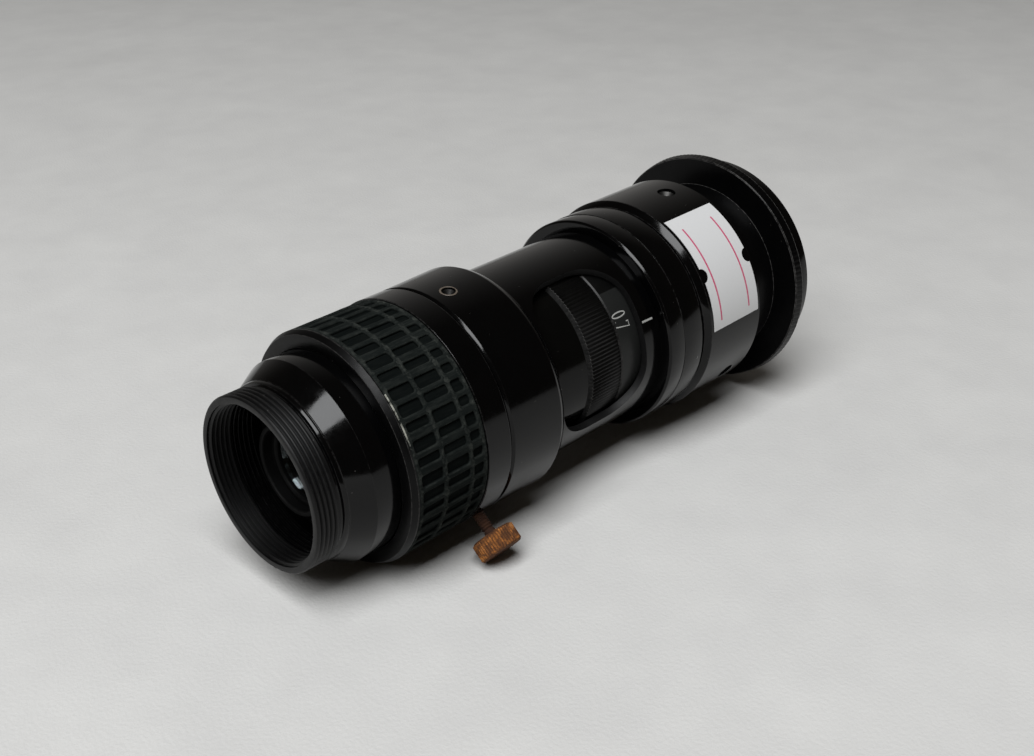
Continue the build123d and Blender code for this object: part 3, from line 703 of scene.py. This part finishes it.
def gripPiece():
    # a sleeve with three rows of sunk pockets, worn on the ridges between them
    g = grip
    stations = [g["front"]] + [s for row in g["rows"] for s in row] + [g["back"]]
    outline = [(s, g["topR"]) for s in stations] + [(g["back"], g["innerR"]), (g["front"], g["innerR"])]
    bm = turned(outline, g["bars"] * g["cells"], 0)
    layer = bm.faces.layers.float["worn"]
    step = 2 * pi / (g["bars"] * g["cells"])
    pockets = {}
    uneven = random.Random(7)
    wide = {(row, bar): uneven.random() < g["wider"] for row in range(len(g["rows"])) for bar in range(g["bars"])}
    for f in bm.faces:
        c = f.calc_center_median()
        if c.yz.length < g["topR"] - 0.1:
            continue
        row = [i for i, (s1, s2) in enumerate(g["rows"]) if s1 < c.x < s2]
        turn = int((atan2(-c.y, c.z) % (2 * pi)) / step)
        pocket = (row[0], turn // g["cells"]) if row else None
        if row and turn % g["cells"] < g["sunk"] + wide[pocket]:
            pockets.setdefault(pocket, []).append(f)
        elif not row:
            f[layer] = 1.0
    for faces in pockets.values():
        made = bmesh.ops.extrude_face_region(bm, geom=faces)
        bmesh.ops.delete(bm, geom=faces, context="FACES_ONLY")
        floor = [f for f in made["geom"] if isinstance(f, bmesh.types.BMFace)]
        low = list({v for f in floor for v in f.verts})
        deep = g["floorR"] + uneven.uniform(-0.08, 0.1)
        for v in low:
            share = deep / v.co.yz.length
            v.co.y *= share
            v.co.z *= share
        inner = [e for e in {e for f in floor for e in f.edges} if all(f in floor for f in e.link_faces)]
        bmesh.ops.dissolve_edges(bm, edges=inner, use_verts=False)
    walls = [e for e in bm.edges if len(e.link_faces) == 2 and e.calc_length() < 0.8
             and abs(e.verts[0].co.x - e.verts[1].co.x) < 0.001 and e.calc_face_angle(0) > radians(60)
             and abs(e.verts[0].co.yz.length - e.verts[1].co.yz.length) > 0.2]
    bevelEdges(bm, walls, g["corner"], 3)
    rims = [e for e in bm.edges if len(e.link_faces) == 2 and e.calc_face_angle(0) > radians(35)
            and all(v.co.yz.length > g["topR"] - 0.03 for v in e.verts)]
    for f in bevelEdges(bm, rims, g["rim"], 2):
        f[layer] = g["rimWear"]
    bmesh.ops.recalc_face_normals(bm, faces=bm.faces)
    return toMesh(bm, "grip_rubber_shell", "focus", gripRubber, ["focus_grip"], smoothAngle=50)


gripPiece()

lock = {"station": 28.8, "angle": 130.2054, "foot": 22.85, "top": 26.0, "r": 3.6, "teeth": 46, "depth": 0.17,
        "shankR": 1.0, "low": 16.95, "edge": 0.3, "pitch": 0.5}


def lockPiece():
    k = lock
    bm = newBmesh()
    profile = [(0.0, k["low"]), (k["shankR"] - 0.15, k["low"]), (k["shankR"], k["low"] + 0.15)]
    turns = int((k["foot"] - k["low"] - 0.5) / k["pitch"])
    for i in range(turns):      # its thread
        s = k["low"] + 0.3 + i * k["pitch"]
        profile += [(k["shankR"], s), (k["shankR"] - 0.2, s + k["pitch"] / 2)]
    profile += [(k["shankR"], k["foot"] - 0.1), (k["r"] - k["edge"] - 0.2, k["foot"]),
                (k["r"], k["foot"] + k["edge"]), (k["r"], k["top"] - k["edge"]), (k["r"] - k["edge"], k["top"]),
                (0.0, k["top"])]
    spin(bm, profile, (0, 0, 1), k["teeth"] * 6)
    side = [e for e in bm.edges if abs(e.verts[0].co.z - e.verts[1].co.z) > 2]
    bmesh.ops.subdivide_edges(bm, edges=side, cuts=5, use_grid_fill=True)
    rough = random.Random(3)
    for v in bm.verts:
        r = v.co.xy.length
        if r > k["r"] - 0.1 and k["foot"] + 0.2 < v.co.z < k["top"] - 0.2:
            turn = atan2(v.co.y, v.co.x) * k["teeth"]
            deep = (0.5 - 0.5 * cos(turn)) * k["depth"] + rough.uniform(0, 0.05)
            v.co.x *= (r - deep) / r
            v.co.y *= (r - deep) / r
    bmesh.ops.transform(bm, matrix=clockFrame(k["station"], k["angle"]), verts=bm.verts)
    bmesh.ops.recalc_face_normals(bm, faces=bm.faces)
    return toMesh(bm, "lock_screw_shell", "lock", rustySteel, ["lock_thumbscrew"], smoothAngle=35)


lockPiece()
print("focus ring modelled")


# fixed body

tubeR = 16.78
barrel = {"front": [(32.45, 16.7), (32.45, 18.5), (32.95, 19.0)], "slope": [(42.8, 19.23), (43.9, 18.71)],
          "bore": [(43.9, tubeR), (37.5, tubeR), (37.5, 15.45), (36.95, 15.45), (36.95, 16.7)]}
barrelHoles = [(36.0, 6.7, 1.12, 16, 20)]
turnedPiece("focus_barrel_shell", sum(barrel.values(), []), "body", blackGloss, "focus_barrel",
            soften=0.06, wear=0.25, holes=barrelHoles)

window = {"front": 45.8, "back": 65.9, "top": 20.7, "low": 117.0, "corner": 8.0, "border": 0.35,
          "innerR": 15.6, "start": 37.55, "end": 84.0}


def windowCutter():
    w = window
    y1, y2 = radians(w["top"]) * tubeR, radians(w["low"]) * tubeR
    cutter = bmesh.new()
    bmesh.ops.create_cube(cutter, size=1)
    bmesh.ops.scale(cutter, vec=(w["back"] - w["front"], y2 - y1, 6), verts=cutter.verts)
    bmesh.ops.translate(cutter, vec=((w["back"] + w["front"]) / 2, (y1 + y2) / 2, 0.5), verts=cutter.verts)
    posts = [e for e in cutter.edges if abs(e.verts[0].co.z - e.verts[1].co.z) > 3]
    bevelEdges(cutter, posts, w["corner"], 24)
    return cutter


def housingPiece():
    # the wall is cut flat, then rolled up
    w = window
    thick = tubeR - w["innerR"]
    length = w["end"] - w["start"]
    bm = bmesh.new()
    bmesh.ops.create_grid(bm, x_segments=24, y_segments=180, size=0.5)
    bmesh.ops.scale(bm, vec=(length, 2 * pi * tubeR, 1), verts=bm.verts)
    bmesh.ops.translate(bm, vec=(w["start"] + length / 2, 0, 0), verts=bm.verts)
    extruded = bmesh.ops.extrude_face_region(bm, geom=bm.faces[:])
    raised = [v for v in extruded["geom"] if isinstance(v, bmesh.types.BMVert)]
    bmesh.ops.translate(bm, vec=(0, 0, thick), verts=raised)
    bmesh.ops.recalc_face_normals(bm, faces=bm.faces)
    bm = cutAway(bm, [windowCutter()])
    seam = [f for f in bm.faces if abs(f.normal.y) > 0.99
            and abs(abs(f.calc_center_median().y) - pi * tubeR) < 0.01]
    bmesh.ops.delete(bm, geom=seam, context="FACES")
    layer = bm.faces.layers.float["worn"]
    for f in bm.faces:
        middle = f.calc_center_median()
        if 0.05 < middle.z < thick - 0.05 and w["front"] - 0.1 < middle.x < w["back"] + 0.1:
            f[layer] = dullMark
    border = [e for e in bm.edges if len(e.link_faces) == 2 and e.calc_face_angle(0) > radians(60)
              and all(abs(v.co.z - thick) < 0.001 for v in e.verts)
              and all(w["front"] - 0.1 < v.co.x < w["back"] + 0.1 for v in e.verts)]
    for f in bevelEdges(bm, border, w["border"], 3):
        f[layer] = dullMark
    for v in bm.verts:
        s, y, z = v.co
        v.co = clockPoint(s, degrees(y / tubeR), w["innerR"] + z)
    bmesh.ops.remove_doubles(bm, verts=bm.verts, dist=0.001)
    bmesh.ops.recalc_face_normals(bm, faces=bm.faces)
    piece = toMesh(bm, "housing_shell", "body", blackGloss, ["zoom_housing"], smoothAngle=30)
    roundShading(piece)
    return piece


housingPiece()

indexRing = {"front": [(69.65, tubeR), (69.65, 18.49), (70.0, 18.84)],
             "back": [(73.36, 18.84), (73.4, 18.8), (73.4, tubeR)]}
band = {"front": [(73.43, tubeR), (73.43, 18.84), (73.5, 18.9)],
        "back": [(78.0, 18.9), (78.1, 18.8), (78.1, tubeR)]}
clamp = {"groove": [(78.13, tubeR), (78.13, 18.2), (78.85, 18.2)], "slope": [(78.85, 18.6), (79.8, 19.54)],
         "back": [(93.5, 19.54), (93.5, 16.62)], "bore": [(84.1, 16.62), (84.1, tubeR)]}
clampHoles = [(88.8, angle, 1.62, 16, 21) for angle in (4, 124, 244)]
turnedPiece("index_ring_shell", sum(indexRing.values(), []), "body", blackGloss, "index_ring")
turnedPiece("band_shell", sum(band.values(), []), "body", blackGloss, "name_band", soften=0.05)
turnedPiece("clamp_shell", sum(clamp.values(), []), "body", blackGloss, "clamp_barrel",
            soften=0.09, holes=clampHoles)

mount = {"boreR": 11.4, "tubeR": 14.48, "plateR": 19.77, "crestR": 12.7, "rootR": 12.3, "pitch": 0.794, "turns": 4,
         "front": 99.0, "plate": 103.62, "plateBack": 107.8, "thread": 108.05, "back": 111.95}


def mountOutline():
    m = mount
    outline = [(m["front"], m["boreR"]), (m["front"], m["tubeR"]), (m["plate"], m["tubeR"]),
               (m["plate"], m["plateR"]), (m["plateBack"], m["plateR"]), (m["thread"], m["plateR"] - 0.27),
               (m["thread"], m["crestR"])]
    for i in range(m["turns"]):
        s = m["thread"] + 0.3 + m["pitch"] * i
        outline += [(s, m["crestR"]), (s + 0.25, m["rootR"]), (s + 0.5, m["crestR"])]
    return outline + [(m["back"] - 0.2, m["crestR"]), (m["back"], m["crestR"] - 0.2), (m["back"], m["boreR"])]


rearCell = {"outline": [(88.0, 9.6), (88.0, 14.48), (97.0, 14.48), (97.0, 11.0), (90.0, 11.0), (90.0, 9.6)]}
rearLensRing = {"outline": [(94.2, 9.9), (95.8, 9.9), (95.8, 10.95), (93.95, 10.95)]}
turnedPiece("mount_shell", mountOutline(), "body", blackGloss, "mount_ring", soften=0.05)
turnedPiece("rear_cell_shell", rearCell["outline"], "body", innerBlack, "rear_cell", steps=120)
turnedPiece("rear_ring_shell", rearLensRing["outline"], "body", innerBlack, "rear_lens_ring",
            steps=120, soften=0.05)

flange = {"teeth": 150, "depth": 0.045, "front": 101.75, "back": 103.6, "frontR": 21.48, "backR": 21.76,
          "tube": [(84.4, 14.5), (84.4, 16.4), (84.6, 16.6), (86.9, 16.6), (87.2, 16.1), (90.4, 16.1),
                   (90.7, 16.6)],
          "tubeR": 16.6, "boreR": 14.5}


def flangePiece():
    k = flange
    disc = [(k["front"], k["tubeR"]), (k["front"], k["frontR"] - 0.12), (k["front"] + 0.16, k["frontR"] + 0.04),
            (k["back"] - 0.2, k["backR"]), (k["back"], k["backR"] - 0.12), (k["back"], k["boreR"])]
    bm = turned(k["tube"] + disc, k["teeth"] * 4, 0.05)
    knurl(bm, k["teeth"], k["depth"], lambda s, r: r > k["frontR"] and k["front"] + 0.2 < s < k["back"] - 0.1)
    return toMesh(bm, "flange_shell", "body", flangeBlack, ["camera_adapter"])


flangePiece()
print("body modelled")


# zoom ring

zoomRing = {"front": 45.0, "back": 67.2, "boreR": 13.6, "hubR": 14.5, "knurlFront": 54.1, "knurlBack": 61.35,
            "knurlR": 15.2, "teeth": 146, "depth": 0.2, "scaleR": 15.3}


def zoomRingPiece():
    k = zoomRing
    outline = [(k["front"], k["boreR"]), (k["front"], k["hubR"] - 0.1), (k["front"] + 0.1, k["hubR"]),
               (k["knurlFront"], k["hubR"]), (k["knurlFront"] + 0.45, k["knurlR"]), (k["knurlBack"], k["knurlR"]),
               (k["knurlBack"], k["scaleR"] - 0.25), (k["knurlBack"] + 0.3, k["scaleR"]), (k["back"], k["scaleR"]),
               (k["back"], k["boreR"])]
    bm = turned(outline, k["teeth"] * 4, 0.03)
    knurl(bm, k["teeth"], k["depth"],
          lambda s, r: r > k["hubR"] + 0.4 and k["knurlFront"] + 0.2 < s < k["knurlBack"] - 0.002)
    markFaces(bm, lambda s, r, n: k["knurlFront"] - 0.1 < s < k["knurlFront"] + 0.4 and r > k["hubR"], dullMark)
    markFaces(bm, lambda s, r, n: k["knurlBack"] - 0.1 < s < k["knurlBack"] + 0.35 and r > 15, 0.3)
    return toMesh(bm, "zoom_ring_shell", "zoom", blackSatin, ["zoom_ring"], smoothAngle=60)


zoomRingPiece()

scale = {"middle": 63.2, "tall": 3.0, "wide": 4.9, "line": 0.22, "r": zoomRing["scaleR"], "point": 0.45,
         "marks": [("0.7", 59.9), ("1", 119), ("2", 152), ("3", 177), ("4", 195), ("4.5", 210)]}
digitLines = {     # each digit in a box one wide and one high
    "0": ([(0.38 * cos(t * pi / 8) + 0.5, 0.5 * sin(t * pi / 8) + 0.5) for t in range(16)], True),
    "1": ([(0.25, 0.78), (0.55, 1.0), (0.55, 0.0)], False),
    "2": ([(0.1, 0.75), (0.2, 0.93), (0.5, 1.0), (0.8, 0.9), (0.88, 0.7), (0.75, 0.45), (0.1, 0.0),
           (0.9, 0.0)], False),
    "3": ([(0.1, 0.85), (0.35, 1.0), (0.7, 0.97), (0.85, 0.77), (0.7, 0.56), (0.42, 0.52), (0.72, 0.48),
           (0.9, 0.27), (0.72, 0.04), (0.38, 0.0), (0.08, 0.15)], False),
    "4": ([(0.72, 0.0), (0.72, 1.0), (0.05, 0.3), (0.95, 0.3)], False),
    "5": ([(0.85, 1.0), (0.2, 1.0), (0.12, 0.52), (0.45, 0.62), (0.8, 0.5), (0.9, 0.28), (0.75, 0.05),
           (0.4, 0.0), (0.08, 0.12)], False),
    "7": ([(0.1, 0.86), (0.1, 1.0), (0.9, 1.0), (0.42, 0.0)], False),
}


def scaleMarks():
    k = scale
    low = k["middle"] - k["tall"] / 2
    pieces = []
    for text, middle in k["marks"]:
        width = sum(k["point"] if c == "." else 1.0 for c in text) * k["wide"] + (len(text) - 1) * 0.1
        at = middle - width / 2
        for c in text:
            if c == ".":
                placed = [(low + 0.2, at + k["wide"] * 0.22), (low + 0.24, at + k["wide"] * 0.24)]
                pieces.append(stroke("dot", placed, k["line"], k["r"], "zoom", whitePaint, "satin_anodised"))
                at += k["wide"] * k["point"]
            else:
                points, closed = digitLines[c]
                placed = [(low + y * k["tall"], at + (0.08 + 0.84 * x) * k["wide"]) for x, y in points]
                pieces.append(stroke("digit", placed, k["line"], k["r"], "zoom", whitePaint, "satin_anodised",
                                     closed=closed))
                at += k["wide"]
    return joined("scale_marks", pieces)


scaleMarks()
indexMark = {"points": [(66.2, 65.8), (68.7, 66.1)], "width": 0.34, "r": tubeR}
bandDot = {"points": [(77.0, 98.0), (77.03, 98.02)], "width": 0.6, "r": 18.9}
stroke("index_mark", body="body", material=whitePaint, slot="black_anodised", **indexMark)
stroke("band_dot", body="body", material=whitePaint, slot="black_anodised", **bandDot)
print("zoom ring modelled")


# label and screws

label = {"front": 80.4, "back": 92.8, "top": 23.5, "low": 86.5, "r": 19.56, "notch": 1.25, "notchAt": 57.0,
         "thick": 0.07}
labelPaper = paperMaterial({"white": (0.6, 0.6, 0.6), "shade": (0.55, 0.55, 0.55), "pink": (0.48, 0.05, 0.13),
                            "lines": (2.1, 9.8), "half": 0.19, "middle": 11.3, "reach": 8.7})


def labelPiece():
    # a flat sheet with two notches, laid round the clamp ring
    k = label
    tall = radians(k["low"] - k["top"]) * k["r"]
    wide = k["back"] - k["front"]
    sheet = bmesh.new()
    bmesh.ops.create_grid(sheet, x_segments=40, y_segments=72, size=0.5)
    bmesh.ops.scale(sheet, vec=(wide, tall, 1), verts=sheet.verts)
    bmesh.ops.translate(sheet, vec=(wide / 2, tall / 2, 0), verts=sheet.verts)
    notches = []
    for x in (0, wide):
        notch = bmesh.new()
        bmesh.ops.create_cone(notch, cap_ends=True, segments=40, radius1=k["notch"], radius2=k["notch"], depth=2)
        bmesh.ops.translate(notch, vec=(x, radians(k["notchAt"] - k["top"]) * k["r"], 0), verts=notch.verts)
        notches.append(notch)
    bm = cutAway(sheet, notches, k["thick"])
    uv = bm.loops.layers.uv.new("sheet")
    for f in bm.faces:
        for loop in f.loops:
            loop[uv].uv = (loop.vert.co.x, loop.vert.co.y)
    for v in bm.verts:
        x, y, z = v.co
        v.co = clockPoint(k["front"] + x, k["top"] + degrees(y / k["r"]), k["r"] + z)
    bmesh.ops.recalc_face_normals(bm, faces=bm.faces)
    return toMesh(bm, "label_sheet", "body", labelPaper, ["price_label"])


labelPiece()

clampScrews = {"spots": [(88.8, 4), (88.8, 124), (88.8, 244)], "r": 1.58, "low": 16.15, "top": 18.95, "socket": 0.9}
barrelScrew = {"spots": [(36.0, 6.7)], "r": 1.08, "low": 16.75, "top": 18.75, "socket": 0.9}


def screwPiece(name, node, spots, r, low, top, socket):
    # set screws with a sunk socket, seen in their holes
    bm = newBmesh()
    for s, angle in spots:
        made = bmesh.ops.create_cone(bm, cap_ends=True, segments=48, radius1=r, radius2=r,
                                     depth=top - low)["verts"]
        cap = [f for f in {f for v in made for f in v.link_faces} if f.normal.z > 0.9]
        bmesh.ops.inset_individual(bm, faces=cap, thickness=r * 0.5)
        bmesh.ops.translate(bm, vec=(0, 0, -socket), verts=list(cap[0].verts))
        made = list({v for f in bm.faces for v in f.verts if v in made or v in cap[0].verts})
        bmesh.ops.transform(bm, matrix=clockFrame(s, angle, (low + top) / 2), verts=made)
    return toMesh(bm, name, "body", screwSteel, [node])


screwPiece("clamp_screw_shells", "clamp_screws", **clampScrews)
screwPiece("barrel_screw_shell", "barrel_screw", **barrelScrew)

glue = {"station": 36.0, "angle": 6.7, "hole": 1.12, "wide": 0.28, "high": 0.05, "r": 19.06}


def gluePiece():
    # dried glue squeezed out round the set screw's hole
    g = glue
    bm = newBmesh()
    made = bmesh.ops.create_circle(bm, cap_ends=True, segments=8, radius=0.5)["verts"]
    bmesh.ops.scale(bm, vec=(g["wide"], g["high"] * 2, 1), verts=made)
    bmesh.ops.rotate(bm, matrix=Matrix.Rotation(pi / 2, 3, "X"), verts=made)
    bmesh.ops.translate(bm, vec=(g["hole"] + g["wide"] / 2, 0, 0), verts=made)
    flat = bm.faces[:]
    bmesh.ops.spin(bm, geom=made + bm.edges[:], cent=(0, 0, 0), axis=(0, 0, 1), dvec=(0, 0, 0),
                   angle=2 * pi, steps=56, use_merge=True, use_duplicate=False)
    bmesh.ops.delete(bm, geom=flat, context="FACES_ONLY")
    for v in bm.verts:
        turn = atan2(v.co.y, v.co.x)
        spread = 1 + 0.1 * sin(3 * turn + 0.5) + 0.07 * sin(7 * turn)
        far = max(0.0, v.co.xy.length - g["hole"] - 0.05)
        v.co.xy *= 1 + far * (spread - 0.9) * 0.6
    bmesh.ops.transform(bm, matrix=clockFrame(g["station"], g["angle"], g["r"]), verts=bm.verts)
    bmesh.ops.recalc_face_normals(bm, faces=bm.faces)
    return toMesh(bm, "glue_ring", "body", tanGlue)


gluePiece()

# plain finishes for what stays inside

inside = {"inner_lens_ring": innerBlack, "focus_sleeve": innerBlack, "guide_tube": innerBlack,
          "guide_retainer": innerBlack, "cam_tube": innerBlack, "front_group_cell": innerBlack,
          "front_group_ring": innerBlack, "rear_group_cell": innerBlack, "rear_group_ring": innerBlack,
          "inner_lens": coatedGlass, "front_group_lens": coatedGlass, "rear_group_lens": coatedGlass,
          "focus_pin": pinSteel, "front_group_pins": pinSteel, "rear_group_pins": pinSteel,
          "thrust_washer": washerBronze}
for node, material in inside.items():
    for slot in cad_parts[node].material_slots:
        slot.material = material
print("finishes set")


# floor, light and camera

floorLook = {"cloth": (0.575, 0.57, 0.555), "shade": (0.535, 0.53, 0.518), "wide": 1.6}


def clothFloor():
    bm = bmesh.new()
    bmesh.ops.create_grid(bm, x_segments=160, y_segments=160, size=floorLook["wide"] / 2)
    floor = newObject("floor", bm)
    material, shader = newMaterial("clothFloor")
    w = Wires(material.node_tree)
    at = w.node("TexCoord").outputs["Object"]
    folds = w.noise(at, 9.0, 2.0, 0.4, 0.6)
    mottle = w.noise(at, 60.0, 4.0, 0.6)
    weave = w.noise(at, 1600.0, 2.0, 0.5)
    base = w.mix(w.range(mottle, 0.3, 0.7), floorLook["cloth"], floorLook["shade"])
    w.link(base, shader.inputs["Base Color"])
    shader.inputs["Roughness"].default_value = 0.9
    shader.inputs["Specular IOR Level"].default_value = 0.1
    first = w.bump(folds, 0.25, 0.012)
    w.link(w.bump(weave, 0.3, 0.0003, first), shader.inputs["Normal"])
    floor.data.materials.append(material)


clothFloor()

lamp = {"at": (-0.79, -0.31, 1.15), "size": (1.44, 0.7), "power": 31.5, "color": (0.97, 0.985, 1.0)}
lampData = bpy.data.lights.new("key", "AREA")
lampData.shape = "RECTANGLE"
lampData.size = lamp["size"][0]
lampData.size_y = lamp["size"][1]
lampData.energy = lamp["power"]
lampData.color = lamp["color"]
lampObject = bpy.data.objects.new("key", lampData)
bpy.context.scene.collection.objects.link(lampObject)
lampObject.location = lamp["at"]

room = {"wall": (0.66, 0.73, 0.17), "dim": (0.12, 0.1, 0.076), "pale": (1.0, 0.97, 0.93), "strength": 0.31}
world = bpy.data.worlds.new("room")
world.use_nodes = True
bpy.context.scene.world = world
w = Wires(world.node_tree)
sky = world.node_tree.nodes["Background"]
far = w.node("VectorMath", operation="DOT_PRODUCT")      # a pale wall behind, fading towards the ceiling
w.link(w.node("TexCoord").outputs["Generated"], far.inputs[0])
far.inputs[1].default_value = room["wall"]
glow = w.math("POWER", w.range(far.outputs["Value"], 0.55, 1.0), 1.6)
w.link(w.mix(glow, room["dim"], room["pale"]), sky.inputs["Color"])
sky.inputs["Strength"].default_value = room["strength"]

camera = {"at": (-0.14139676, -0.13772665, 0.11853985), "turn": (62.3689305, 0.0, -44.9795409), "lens": 45.485}
cameraData = bpy.data.cameras.new("camera")
cameraData.sensor_width = 36
cameraData.lens = camera["lens"]
cameraData.clip_start = 0.005
cameraObject = bpy.data.objects.new("camera", cameraData)
bpy.context.scene.collection.objects.link(cameraObject)
cameraObject.location = camera["at"]
cameraObject.rotation_euler = [radians(v) for v in camera["turn"]]
bpy.context.scene.camera = cameraObject
bpy.context.scene.view_settings.view_transform = "Standard"
print("stage set")
